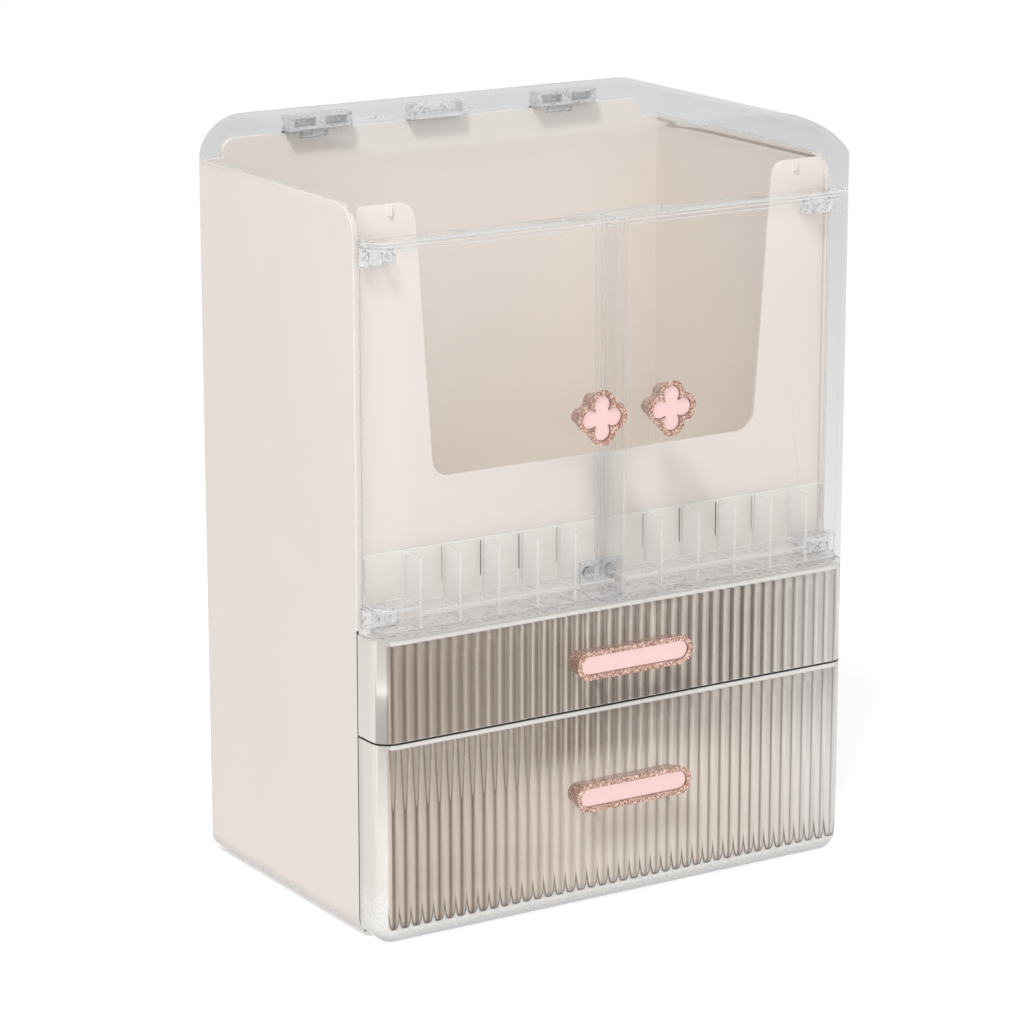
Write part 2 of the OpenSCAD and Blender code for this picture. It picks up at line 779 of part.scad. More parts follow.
module left_knob_rim() {
    pull_rim(-knob_x, door_z + knob_up, [0]) {
        knob_body();
        lobed_outline(rim_w);
    }
}

module left_knob_inlay() {
    pull_inlay(-knob_x, door_z + knob_up) lobed_outline(rim_w + inlay_fit);
}

module left_knob_screw() {
    screw(-knob_x, door_z + knob_up, front_y + door_t + screw_head_h, front_y - screw_bite);
}

module right_door_panel() mirror([1, 0, 0]) left_door_panel();
module right_lipstick_rack() mirror([1, 0, 0]) left_lipstick_rack();
module right_door_pins() mirror([1, 0, 0]) left_door_pins();
module right_strike_disc() mirror([1, 0, 0]) left_strike_disc();
module right_knob_rim() mirror([1, 0, 0]) left_knob_rim();
module right_knob_inlay() mirror([1, 0, 0]) left_knob_inlay();
module right_knob_screw() mirror([1, 0, 0]) left_knob_screw();

// The flutes fill the width between a front's side returns
fluted_w = body_w - 2 * return_t;
flute_count = round(fluted_w / flute_pitch);
flute_step = fluted_w / flute_count;
flute_y = front_y + panel_t + flute_r - flute_depth;

// The row of flutes in the back of a front panel, from z0 to z1, with round or open lower ends
module flutes(z0, z1, round_end) {
    intersection() {
        box([-fluted_w / 2, front_y, z0 - flute_r], [fluted_w / 2, fronts_back_y, z1]);
        for (i = [0:flute_count - 1])
            translate([(i - (flute_count - 1) / 2) * flute_step, flute_y, z0]) {
                cylinder(h = z1 - z0 + e, r = flute_r);
                if (round_end) sphere(flute_r);
            }
    }
}

// A drawer's front panel from z0 to z1 with its side returns and its upper return;
// "cut_z" is the level at which the hollow behind it begins
module drawer_front(z0, z1, cut_z, handle_z, flute_z, round_end) {
    color(fluted) difference() {
        intersection() {
            outer_form(0);
            box([-far, front_y - 1, z0], [far, fronts_back_y, z1]);
        }
        intersection() {
            panel_hollow();
            box([-far, front_y - 1, cut_z], [far, fronts_back_y + 1, z1 - panel_t]);
        }
        flutes(flute_z, z1 - panel_t, round_end);
        for (side = [-1, 1])
            rod_y(side * handle_screw_pitch / 2, handle_z, front_y - 1, front_y + panel_t + 1,
                screw_r + hold_clear);
    }
}

// The space behind the front panels, inside their returns
module panel_hollow() {
    side_x = half_w - return_t;
    intersection() {
        front_block(front_y - e, fronts_back_y + 2)
            soft_rect(-side_x, foot_h + panel_t, side_x, body_h, [hollow_foot_r, hollow_foot_r, 0, 0]);
        plan_block(0, body_h)
            soft_rect(-side_x, front_y + panel_t, side_x, fronts_back_y + 2, [hollow_r, hollow_r, 0, 0]);
        side_block(-half_w, half_w)
            soft_rect(front_y + panel_t, foot_h + panel_t, fronts_back_y + 2, body_h,
                [hollow_foot_r, 0, 0, 0]);
    }
}

// The waste outside the ball-shaped lower corners of the bottom drawer's front
module foot_corners() {
    for (side = [0, 1]) mirror([side, 0, 0]) difference() {
        box([-half_w - 1, front_y - 1, 0],
            [-half_w + edge_r, front_y + edge_r, foot_h + edge_r]);
        translate([-half_w + edge_r, front_y + edge_r, foot_h + edge_r]) sphere(edge_r);
    }
}

// A drawer's tray on the surface at floor_z, under the shelf whose underside is at roof_z;
// its raised back wall meets that shelf's stop rib when the drawer is pulled right out
module drawer_tray(floor_z, roof_z, handle_z) {
    side_z = roof_z - stop_h - tray_headroom;
    tray_back_y = back_y - wall_t - tray_back_gap;
    color(clear) difference() {
        tray_form(floor_z + slide_gap, roof_z - stop_gap, 0);
        tray_form(floor_z + slide_gap, roof_z, tray_t);
        box([-far, front_y, side_z], [far, tray_back_y - tray_back_r, roof_z]);
        for (side = [-1, 1])
            rod_y(side * handle_screw_pitch / 2, handle_z, front_y, front_y + panel_t + tray_t + 1,
                screw_r + hold_clear);
    }
}

// The round-edged form of a tray from z0 to z1, moved in by "inset" except at the top
module tray_form(z0, z1, inset) {
    x = inner_w / 2 - tray_side_gap - inset;
    y0 = front_y + panel_t + inset;
    y1 = back_y - wall_t - tray_back_gap - inset;
    corner_r = tray_front_r - inset;
    foot_edge_r = tray_foot_r - inset;
    intersection() {
        plan_block(z0, z1) soft_rect(-x, y0, x, y1,
            [corner_r, corner_r, tray_back_r - inset, tray_back_r - inset]);
        front_block(y0, y1) soft_rect(-x, z0 + inset, x, z1, [foot_edge_r, foot_edge_r, 0, 0]);
        side_block(-x, x) soft_rect(y0, z0 + inset, y1, z1, [foot_edge_r, 0, 0, 0]);
    }
}

// The two screws that hold a handle and a panel on the tray
module handle_screws(handle_z) {
    for (side = [-1, 1])
        screw(side * handle_screw_pitch / 2, handle_z,
            front_y + panel_t + tray_t + screw_head_h, front_y - screw_bite);
}

module handle_rim(z) {
    pull_rim(0, z, [-handle_screw_pitch / 2, handle_screw_pitch / 2]) {
        handle_body();
        bar_outline(rim_w);
    }
}

top_handle_z = top_front_top - top_handle_drop;
bottom_handle_z = bottom_front_top - bottom_handle_drop;
floor_under_z = floor_top_z - shelf_t;
shelf_under_z = shelf_top_z - shelf_t;

module top_drawer_front() {
    drawer_front(top_front_z, top_front_top, 0, top_handle_z, top_front_z - 1, false);
}

module top_drawer_tray() {
    drawer_tray(shelf_top_z, floor_under_z, top_handle_z);
}

module top_handle_rim() handle_rim(top_handle_z);
module top_handle_inlay() pull_inlay(0, top_handle_z) bar_outline(rim_w + inlay_fit);
module top_handle_screws() handle_screws(top_handle_z);

module bottom_drawer_front() {
    difference() {
        drawer_front(foot_h, bottom_front_top, foot_h + panel_t, bottom_handle_z,
            foot_h + flute_foot, true);
        foot_corners();
    }
}

module bottom_drawer_tray() {
    drawer_tray(base_top_z, shelf_under_z, bottom_handle_z);
}

module bottom_handle_rim() handle_rim(bottom_handle_z);
module bottom_handle_inlay() pull_inlay(0, bottom_handle_z) bar_outline(rim_w + inlay_fit);
module bottom_handle_screws() handle_screws(bottom_handle_z);

cabinet_shell();
compartment_floor();
drawer_shelf();
front_board();
left_top_bracket();
left_bottom_bracket();
right_top_bracket();
right_bottom_bracket();
bracket_screws();
door_catch();
catch_magnets();
lid_hinge_pins();
rubber_feet();
lid_cover();
left_lid_hinge();
right_lid_hinge();
left_door_panel();
left_lipstick_rack();
left_door_pins();
left_strike_disc();
left_knob_rim();
left_knob_inlay();
left_knob_screw();
right_door_panel();
right_lipstick_rack();
right_door_pins();
right_strike_disc();
right_knob_rim();
right_knob_inlay();
right_knob_screw();
top_drawer_front();
top_drawer_tray();
top_handle_rim();
top_handle_inlay();
top_handle_screws();
bottom_drawer_front();
bottom_drawer_tray();
bottom_handle_rim();
bottom_handle_inlay();
bottom_handle_screws();
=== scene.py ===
import json
import math
import bpy
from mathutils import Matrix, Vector

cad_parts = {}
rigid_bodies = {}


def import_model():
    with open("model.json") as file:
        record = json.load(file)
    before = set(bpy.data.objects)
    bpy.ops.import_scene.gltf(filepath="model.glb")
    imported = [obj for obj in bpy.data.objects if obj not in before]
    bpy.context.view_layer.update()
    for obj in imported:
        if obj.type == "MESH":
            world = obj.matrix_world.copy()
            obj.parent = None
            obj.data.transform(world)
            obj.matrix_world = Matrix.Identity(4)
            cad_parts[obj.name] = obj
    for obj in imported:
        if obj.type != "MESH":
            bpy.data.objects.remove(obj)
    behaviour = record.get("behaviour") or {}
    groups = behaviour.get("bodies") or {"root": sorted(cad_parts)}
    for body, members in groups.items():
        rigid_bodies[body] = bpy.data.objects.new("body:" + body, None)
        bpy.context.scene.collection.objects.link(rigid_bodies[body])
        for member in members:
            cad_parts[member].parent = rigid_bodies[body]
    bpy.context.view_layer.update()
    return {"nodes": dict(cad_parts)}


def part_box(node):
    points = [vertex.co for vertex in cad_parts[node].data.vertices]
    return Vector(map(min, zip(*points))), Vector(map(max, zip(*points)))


for leftover in list(bpy.data.objects):
    bpy.data.objects.remove(leftover)

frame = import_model()
nodes = frame["nodes"]
scene = bpy.context.scene
print("frame loaded,", len(nodes), "nodes")


# Small helpers for the material nodes

def newFinish(name):
    finish = bpy.data.materials.new(name)
    finish.use_nodes = True
    tree = finish.node_tree
    tree.nodes.clear()
    return finish, tree


def addNode(tree, kind, inputs=None, **settings):
    # an input takes another node's socket, a number, a vector or a colour
    node = tree.nodes.new(kind)
    for name, value in settings.items():
        setattr(node, name, value)
    for key, value in (inputs or {}).items():
        socket = node.inputs[key]
        if isinstance(value, bpy.types.NodeSocket):
            tree.links.new(value, socket)
        elif socket.type == "RGBA":
            socket.default_value = (*value, 1)
        else:
            socket.default_value = value
    return node


def colourRamp(tree, source, stops):
    ramp = addNode(tree, "ShaderNodeValToRGB", {"Fac": source})
    marks = ramp.color_ramp.elements
    while len(marks) < len(stops):
        marks.new(0.5)
    for mark, (place, shade) in zip(marks, stops):
        mark.position = place
        mark.color = (*shade, 1)
    return ramp.outputs["Color"]


def mottled(tree, grain, look, ends=(0.3, 0.7)):
    # the shade, with a deeper tone of it where the grain is low
    deeper = tuple(look["deep"] * part for part in look["shade"])
    return colourRamp(tree, grain, ((ends[0], deeper), (ends[1], look["shade"])))


def spread(tree, source, low, high):
    # takes 0 to low and 1 to high
    node = addNode(tree, "ShaderNodeMapRange", {"Value": source, "To Min": low, "To Max": high})
    return node.outputs["Result"]


def ramped(tree, source, low, high):
    # takes low to 0 and high to 1
    node = addNode(tree, "ShaderNodeMapRange", {"Value": source, "From Min": low, "From Max": high})
    return node.outputs["Result"]


def calc(tree, operation, *terms, clamp=False):
    # each term is a socket or a number
    node = addNode(tree, "ShaderNodeMath", dict(enumerate(terms)),
                   operation=operation, use_clamp=clamp)
    return node.outputs["Value"]


def product(tree, first, *others):
    for other in others:
        first = calc(tree, "MULTIPLY", first, other)
    return first


def blendShades(tree, share, first, second):
    node = addNode(tree, "ShaderNodeMix", {"Factor": share, 6: first, 7: second}, data_type="RGBA")
    return node.outputs[2]


def objectPlace(tree):
    return addNode(tree, "ShaderNodeTexCoord").outputs["Object"]


def objectAxes(tree):
    # across, depth and height, in metres
    return addNode(tree, "ShaderNodeSeparateXYZ", {"Vector": objectPlace(tree)}).outputs


def fineNoise(tree, size, stretch=(1, 1, 1), detail=3.0):
    # size is the width of one lump in metres
    scaled = addNode(tree, "ShaderNodeMapping", {"Vector": objectPlace(tree), "Scale": stretch})
    noise = addNode(tree, "ShaderNodeTexNoise", {
        "Vector": scaled.outputs["Vector"], "Scale": 1 / size, "Detail": detail,
    })
    return noise.outputs["Fac"]


def fineCells(tree, size):
    # the cells' own outputs, and the channels of each cell's chance colour
    cells = addNode(tree, "ShaderNodeTexVoronoi", {"Vector": objectPlace(tree), "Scale": 1 / size})
    chance = addNode(tree, "ShaderNodeSeparateColor", {"Color": cells.outputs["Color"]})
    return cells.outputs, chance.outputs


def bumpFrom(tree, height, depth):
    bump = addNode(tree, "ShaderNodeBump", {"Height": height, "Strength": 1.0, "Distance": depth})
    return bump.outputs["Normal"]


def addSurface(tree, settings):
    return addNode(tree, "ShaderNodeBsdfPrincipled", settings).outputs["BSDF"]


def mixShaders(tree, share, first, second):
    mixed = addNode(tree, "ShaderNodeMixShader", {"Fac": share, 1: first, 2: second})
    return mixed.outputs["Shader"]


def lampsPass(tree, shader, shade):
    # lamplight and bounced light go straight through, tinted by shade
    passing = addNode(tree, "ShaderNodeBsdfTransparent", {"Color": shade})
    path = addNode(tree, "ShaderNodeLightPath").outputs
    soft = calc(tree, "MAXIMUM", path["Is Shadow Ray"], path["Is Diffuse Ray"])
    return mixShaders(tree, soft, shader, passing.outputs["BSDF"])


def closeTree(tree, shader):
    addNode(tree, "ShaderNodeOutputMaterial", {"Surface": shader})


# Cream moulded walls: satin, with a very fine grain and a faint drift of shade
creamWall = {
    "plastic": {"IOR": 1.47, "Specular IOR Level": 0.4, "Coat Weight": 0.08,
                "Coat Roughness": 0.25},
    "drift": ((0.25, (0.718, 0.660, 0.610)), (0.75, (0.741, 0.684, 0.634))),
    "driftSize": 0.09,
    "grainSize": 0.0011,
    "grainDepth": 0.00003,
    "roughness": (0.38, 0.52),
    # painted shade: the outer rims of the walls' front ends are painted dark, for the shade behind
    # the drawer fronts
    "paintedEndShade": {"shade": (0.07, 0.062, 0.055), "depth": -0.0576, "height": 0.1475, "aside": 0.1288},
}


def makeCream(name, look):
    finish, tree = newFinish(name)
    paintedEndShade = look["paintedEndShade"]
    across, depth, height = objectAxes(tree)
    # where the walls' front ends are painted dark, for the shade behind the drawer fronts
    inPaintedEndShade = product(tree, calc(tree, "LESS_THAN", depth, paintedEndShade["depth"]),
                     calc(tree, "LESS_THAN", height, paintedEndShade["height"]),
                     calc(tree, "GREATER_THAN", calc(tree, "ABSOLUTE", across), paintedEndShade["aside"]))
    drift = colourRamp(tree, fineNoise(tree, look["driftSize"], detail=2.0), look["drift"])
    grain = fineNoise(tree, look["grainSize"])
    closeTree(tree, addSurface(tree, {
        **look["plastic"],
        "Base Color": blendShades(tree, inPaintedEndShade, drift, paintedEndShade["shade"]),
        "Roughness": spread(tree, grain, *look["roughness"]),
        "Normal": bumpFrom(tree, grain, look["grainDepth"]),
    }))
    return finish


# Clear moulded plastic: it turns greyer from head on (0) to a slant (1), and lets the lamps
# through to what it covers
clearSheet = {
    "plastic": {"IOR": 1.004, "Coat Roughness": 0.02},
    "gloss": 0.45,
    "haze": 0.0,
    "tint": ((0.22, (0.994, 0.992, 0.990)), (0.48, (0.978, 0.985, 0.991)),
             (0.75, (0.955, 0.965, 0.976))),
    "shadow": ((0.3, (0.985, 0.985, 0.985)), (0.9, (0.72, 0.72, 0.73))),
    "roughness": (0.004, 0.02),
    "waveSize": 0.012,
    "waveDepth": 0.000015,
}
# the racks are thinner and clearer
clearRack = dict(clearSheet, haze=0.07, tint=(
    (0.22, (0.999, 0.998, 0.996)), (0.48, (0.996, 0.997, 0.998)), (0.75, (0.985, 0.987, 0.990)),
))


def makeClear(name, look):
    finish, tree = newFinish(name)
    # the gloss is on the outside of the plastic only
    inside = addNode(tree, "ShaderNodeNewGeometry").outputs["Backfacing"]
    facing = addNode(tree, "ShaderNodeLayerWeight", {"Blend": 0.5}).outputs["Facing"]
    wave = fineNoise(tree, look["waveSize"], detail=1.0)
    shader = addSurface(tree, {
        **look["plastic"],
        "Transmission Weight": 1.0 - look["haze"],
        "Coat Weight": calc(tree, "MULTIPLY_ADD", inside, -look["gloss"], look["gloss"]),
        "Base Color": colourRamp(tree, facing, look["tint"]),
        "Roughness": spread(tree, wave, *look["roughness"]),
        "Normal": bumpFrom(tree, wave, look["waveDepth"]),
    })
    closeTree(tree, lampsPass(tree, shader, colourRamp(tree, facing, look["shadow"])))
    return finish


# Fluted fronts. The stripes are painted refraction and shade: they stand for the dim insides of
# the drawers seen through the flutes. They lie on the flutes, behind the smooth face, and change
# from left to right and from top to bottom with what stands behind them. Each row of shades goes
# from the middle of a flute (0) to the ridge beside it (1), and "across" says where along the
# front each row holds, in metres from the middle. "top" is the height of the flutes' upper
# ends, and "tips" that of their round lower tips, if they have any in sight
topPaintedStripes = {
    "top": 0.1444,
    "tips": -1.0,
    "lipHeight": 1.0,  # far above the front, which has no lip
    "across": (-0.105, -0.035, 0.070, 0.1235),
    "upper": (
        ((0.0, (0.213, 0.164, 0.132)), (0.30, (0.327, 0.264, 0.221)),
         (0.55, (0.489, 0.415, 0.358)), (1.0, (0.542, 0.463, 0.403))),
        ((0.05, (0.590, 0.513, 0.447)), (0.28, (0.265, 0.210, 0.170)),
         (0.66, (0.300, 0.240, 0.195)), (0.88, (0.830, 0.750, 0.670))),
        ((0.34, (0.164, 0.132, 0.109)), (0.46, (0.644, 0.585, 0.515)),
         (1.0, (0.824, 0.755, 0.682))),
        ((0.08, (0.440, 0.415, 0.395)), (0.20, (0.800, 0.780, 0.760)),
         (1.0, (0.860, 0.845, 0.830))),
    ),
}
rightRow = ((0.14, (0.287, 0.233, 0.197)), (0.30, (0.690, 0.629, 0.570)),
            (1.0, (0.772, 0.706, 0.644)))
farRightRow = ((0.08, (0.430, 0.415, 0.400)), (0.22, (0.700, 0.695, 0.685)),
               (1.0, (0.750, 0.745, 0.735)))
bottomPaintedStripes = {
    "top": 0.0957,
    "tips": 0.0094,
    "lipHeight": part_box("bottom_drawer_front")[1][2] - 0.00005,
    "across": (-0.080, -0.025, 0.070, 0.1235),
    "upper": (
        ((0.0, (0.520, 0.450, 0.390)), (0.6, (0.470, 0.400, 0.345)), (1.0, (0.360, 0.300, 0.255))),
        ((0.05, (0.451, 0.380, 0.327)), (0.28, (0.225, 0.175, 0.141)),
         (0.66, (0.255, 0.201, 0.164)), (0.88, (0.755, 0.675, 0.592))),
        rightRow, farRightRow,
    ),
    "lower": (
        ((0.06, (0.190, 0.150, 0.122)), (0.24, (0.300, 0.246, 0.205)),
         (0.42, (0.530, 0.457, 0.400)), (1.0, (0.615, 0.540, 0.480))),
        ((0.0, (0.550, 0.477, 0.412)), (0.3, (0.605, 0.532, 0.462)),
         (0.6, (0.705, 0.630, 0.560)), (1.0, (0.765, 0.695, 0.630))),
        rightRow, farRightRow,
    ),
    # painted dark arches, for the refraction between the upper and the lower rows; to the right
    # they fade out, and the rows pass slowly into each other
    "arch": {"height": 0.066, "rise": 0.073, "power": 2, "width": 0.0005, "sharp": 2500,
             "shade": (0.186, 0.138, 0.109), "fade": (-0.070, -0.035), "slow": 70},
}
flutedFront = {
    "plastic": {"IOR": 1.36},
    "cover": 0.72,  # how milky the flutes are: how much shows the painted stripes instead of letting light through
    "faceTint": (0.985, 0.975, 0.965),
    "side": {"shade": (0.690, 0.665, 0.630), "cover": 0.80},
    "foot": {"shade": (0.800, 0.785, 0.760), "deep": 0.86, "speckSize": 0.0014,
             "height": (0.022, 0.030)},
    # painted shade: the lowest few millimetres of the fronts turn a bluer grey
    "soleShade": {"shade": (0.52, 0.535, 0.585), "height": (0.0025, 0.0055)},
    # painted dark outlines round the flutes' lower tips, for the refraction there
    "tip": {"shade": (0.104, 0.071, 0.052), "cover": 0.90, "width": 0.00060, "rise": 0.0075,
            "power": 4},
    # painted shade: a dark line under the gap between the two fronts, along the lower one's rounded
    # outline
    "lip": {"shade": (0.030, 0.026, 0.023), "width": 0.0028, "corner": 0.010,
            "outline": (0.130, 0.07825), "roughness": 0.8},
    "step": 0.251 / 42,
    "halfWidth": 0.1255,
    "frontDepth": -0.0774,
    "sharp": {"back": 4000, "face": 2500},
    "shadow": (0.95, 0.94, 0.93),
    "roughness": (0.02, 0.06),
    "waveSize": 0.010,
    "waveDepth": 0.00002,
}


def paintedStripeRows(tree, across, flank, places, rows):
    shown = colourRamp(tree, flank, rows[0])
    for start, end, row in zip(places, places[1:], rows[1:]):
        shown = blendShades(tree, ramped(tree, across, start, end), shown,
                            colourRamp(tree, flank, row))
    return shown


def fromCurve(tree, step, height, flank, foot, curve):
    # distance above a curve that stands on foot in a flute's middle and rises beside it
    rise, power = curve["rise"], curve["power"]
    lift = product(tree, calc(tree, "POWER", flank, power), rise)
    above = calc(tree, "SUBTRACT", calc(tree, "SUBTRACT", height, foot), lift)
    slope = product(tree, calc(tree, "POWER", flank, power - 1), 2 * power * rise / step)
    steep = calc(tree, "SQRT", calc(tree, "MULTIPLY_ADD", slope, slope, 1.0))
    return calc(tree, "DIVIDE", above, steep)


def onLine(tree, distance, width):
    return calc(tree, "SUBTRACT", 1.0,
                calc(tree, "DIVIDE", calc(tree, "ABSOLUTE", distance), width), clamp=True)


def makePaintedStripes(tree, step, stripes, across, height, flank):
    upper = paintedStripeRows(tree, across, flank, stripes["across"], stripes["upper"])
    if "arch" not in stripes:
        return upper
    arch = stripes["arch"]
    lower = paintedStripeRows(tree, across, flank, stripes["across"], stripes["lower"])
    fromArch = fromCurve(tree, step, height, flank, arch["height"], arch)
    within = calc(tree, "MULTIPLY_ADD", fromArch, arch["sharp"], 0.5, clamp=True)
    slowly = calc(tree, "MULTIPLY", calc(tree, "SUBTRACT", height, arch["height"]), arch["slow"],
                  clamp=True)
    aside = ramped(tree, across, *arch["fade"])
    arched = calc(tree, "SUBTRACT", 1, aside)
    share = calc(tree, "ADD", product(tree, within, arched), product(tree, slowly, aside))
    line = product(tree, onLine(tree, fromArch, arch["width"]), arched)
    return blendShades(tree, line, blendShades(tree, share, lower, upper), arch["shade"])


def atLip(tree, lip, lipHeight, across, depth, height):
    half, ahead = (reach - lip["corner"] for reach in lip["outline"])
    aside = calc(tree, "SUBTRACT", calc(tree, "ABSOLUTE", across), half)
    before = calc(tree, "SUBTRACT", calc(tree, "MULTIPLY", depth, -1), ahead)
    aside, before = (calc(tree, "MAXIMUM", term, 0.0) for term in (aside, before))
    reach = calc(tree, "SQRT", calc(tree, "MULTIPLY_ADD", aside, aside,
                                    product(tree, before, before)))
    return product(tree, calc(tree, "GREATER_THAN", reach, lip["corner"] - lip["width"]),
                   calc(tree, "GREATER_THAN", height, lipHeight))


def makeFluted(name, look, stripes):
    finish, tree = newFinish(name)
    side, foot, soleShade, tip, lip = (look[part] for part in ("side", "foot", "soleShade", "tip", "lip"))
    across, depth, height = objectAxes(tree)
    lane = calc(tree, "FRACT", calc(tree, "DIVIDE", across, look["step"]))
    flank = calc(tree, "ABSOLUTE", calc(tree, "MULTIPLY_ADD", lane, 2, -1))
    behind = calc(tree, "GREATER_THAN", depth, look["frontDepth"])
    # the field of flutes, and the smooth frame round it
    fromTip = fromCurve(tree, look["step"], height, flank, stripes["tips"], tip)
    inField = calc(tree, "MINIMUM",
                   calc(tree, "SUBTRACT", look["halfWidth"], calc(tree, "ABSOLUTE", across)),
                   calc(tree, "SUBTRACT", stripes["top"], height))
    onBack = calc(tree, "MINIMUM", inField, fromTip)
    onFace = calc(tree, "MINIMUM", inField, calc(tree, "SUBTRACT", height, stripes["tips"]))
    framedBack, framedFace = (
        calc(tree, "MULTIPLY_ADD", within, -look["sharp"][part], 0.5, clamp=True)
        for part, within in (("back", onBack), ("face", onFace))
    )
    framed = calc(tree, "MULTIPLY_ADD", behind, calc(tree, "SUBTRACT", framedBack, framedFace),
                  framedFace)
    atTip = product(tree, onLine(tree, fromTip, tip["width"]), behind,
                    calc(tree, "GREATER_THAN", inField, 0.0))
    onLip = atLip(tree, lip, stripes["lipHeight"], across, depth, height)
    # colours, from the stripes outwards
    striped = makePaintedStripes(tree, look["step"], stripes, across, height, flank)
    striped = blendShades(tree, behind, look["faceTint"], striped)
    footShade = mottled(tree, fineNoise(tree, foot["speckSize"]), foot, ends=(0.35, 0.65))
    footShade = blendShades(tree, ramped(tree, height, *soleShade["height"]), soleShade["shade"], footShade)
    frameShade = blendShades(tree, ramped(tree, height, *foot["height"]), footShade, side["shade"])
    shaded = blendShades(tree, framed, striped, frameShade)
    shaded = blendShades(tree, atTip, shaded, tip["shade"])
    shaded = blendShades(tree, onLip, shaded, lip["shade"])
    # how much of the surface is milky, showing its painted shades instead of letting light through
    cover = product(tree, behind, look["cover"], calc(tree, "SUBTRACT", 1, framed))
    cover = calc(tree, "MULTIPLY_ADD", framed, side["cover"], cover)
    cover = calc(tree, "MAXIMUM", cover, calc(tree, "MULTIPLY", atTip, tip["cover"]))
    cover = calc(tree, "MAXIMUM", cover, onLip)
    wave = fineNoise(tree, look["waveSize"], detail=1.0)
    shader = addSurface(tree, {
        **look["plastic"],
        "Base Color": shaded,
        "Transmission Weight": calc(tree, "SUBTRACT", 1, cover),
        "Roughness": calc(tree, "MAXIMUM", spread(tree, wave, *look["roughness"]),
                          calc(tree, "MULTIPLY", onLip, lip["roughness"])),
        "Normal": bumpFrom(tree, wave, look["waveDepth"]),
    })
    closeTree(tree, lampsPass(tree, shader, look["shadow"]))
    return finish


# Small clear blocks: thick and ribbed inside; a bump of small cells makes them glint, and their
# colour is a painted speckle of light and dark cells, for more glints
clearBlock = {
    "plastic": {"IOR": 1.22, "Transmission Weight": 0.52, "Coat Weight": 0.7,
                "Coat Roughness": 0.04},
    "cellSize": 0.0012,
    "cells": ((0.0, (0.40, 0.39, 0.38)), (0.12, (0.54, 0.53, 0.51)), (0.16, (0.78, 0.77, 0.76)),
              (0.55, (0.88, 0.875, 0.87)), (1.0, (0.98, 0.975, 0.97))),
    "cellDepth": 0.0003,
    "roughness": (0.05, 0.22),
    "shadow": (0.80, 0.80, 0.80),
}
# the lid's hinges and tab hold back more of the light
hingeBlock = dict(clearBlock, shadow=(0.08, 0.08, 0.09))
# the doors' floors, moulded with fine ribs, with a finer painted speckle of glints
doorFloor = dict(clearBlock, cellSize=0.0016, shadow=(0.92, 0.92, 0.92),
                 plastic={**clearBlock["plastic"], "Transmission Weight": 0.60},
                 cells=((0.0, (0.50, 0.49, 0.47)), (0.14, (0.62, 0.61, 0.59)),
                        (0.18, (0.84, 0.83, 0.82)), (1.0, (0.98, 0.975, 0.97))))


def makeBlock(name, look):
    finish, tree = newFinish(name)
    cells, chance = fineCells(tree, look["cellSize"])
    shader = addSurface(tree, {
        **look["plastic"],
        "Base Color": colourRamp(tree, chance["Green"], look["cells"]),
        "Roughness": spread(tree, chance["Red"], *look["roughness"]),
        "Normal": bumpFrom(tree, cells["Distance"], look["cellDepth"]),
    })
    closeTree(tree, lampsPass(tree, shader, look["shadow"]))
    return finish


# Softly rounded cut edges of the clear pieces, with a painted highlight: a whitish colour where the
# light gathers
clearEdgeHighlight = {
    "plastic": {"IOR": 1.45, "Transmission Weight": 0.62, "Coat Weight": 0.6,
                "Coat Roughness": 0.08},
    "shade": (0.90, 0.905, 0.91),
    "deep": 0.86,
    "speckSize": 0.0009,
    "roughness": (0.12, 0.30),
}
# painted dark lines, for the dark refraction where the racks' dividers meet their backs, stronger
# on some than on others
rackEdgeHighlight = dict(
    clearEdgeHighlight,
    plastic={**clearEdgeHighlight["plastic"], "Transmission Weight": 0.5},
    paintedDark={"shade": (0.05, 0.045, 0.04), "depth": -0.0613, "heights": (0.165, 0.1815),
          "swing": 0.035},
)


def makeEdgeHighlight(name, look):
    finish, tree = newFinish(name)
    speck = fineNoise(tree, look["speckSize"])
    tint = mottled(tree, speck, look)
    if "paintedDark" in look:
        tint = blendShades(tree, paintedDarkLines(tree, look["paintedDark"]), tint, look["paintedDark"]["shade"])
    shader = addSurface(tree, {
        **look["plastic"],
        "Base Color": tint,
        "Roughness": spread(tree, speck, *look["roughness"]),
    })
    closeTree(tree, lampsPass(tree, shader, tint))
    return finish


def paintedDarkLines(tree, paintedDark):
    across, depth, height = objectAxes(tree)
    low, high = paintedDark["heights"]
    swing = calc(tree, "ABSOLUTE", calc(tree, "SINE", calc(tree, "DIVIDE", across, paintedDark["swing"])))
    return product(tree, calc(tree, "GREATER_THAN", height, low),
                   calc(tree, "LESS_THAN", height, high),
                   calc(tree, "GREATER_THAN", depth, paintedDark["depth"]), swing)


# Rose-gold glitter: small flakes at many tilts under a clear gloss
glitterRim = {
    "gloss": {"Metallic": 0.55, "Roughness": 0.36, "Coat Weight": 0.9, "Coat Roughness": 0.06},
    "flakeSize": 0.00055,
    "flakes": ((0.15, (0.24, 0.108, 0.072)), (0.6, (0.50, 0.285, 0.215)),
               (0.95, (0.88, 0.64, 0.55))),
    "tilt": 0.55,
    "shadow": (0.66, 0.63, 0.62),  # the resin is translucent
}
glitterBar = dict(glitterRim, shadow=(0.93, 0.92, 0.91))


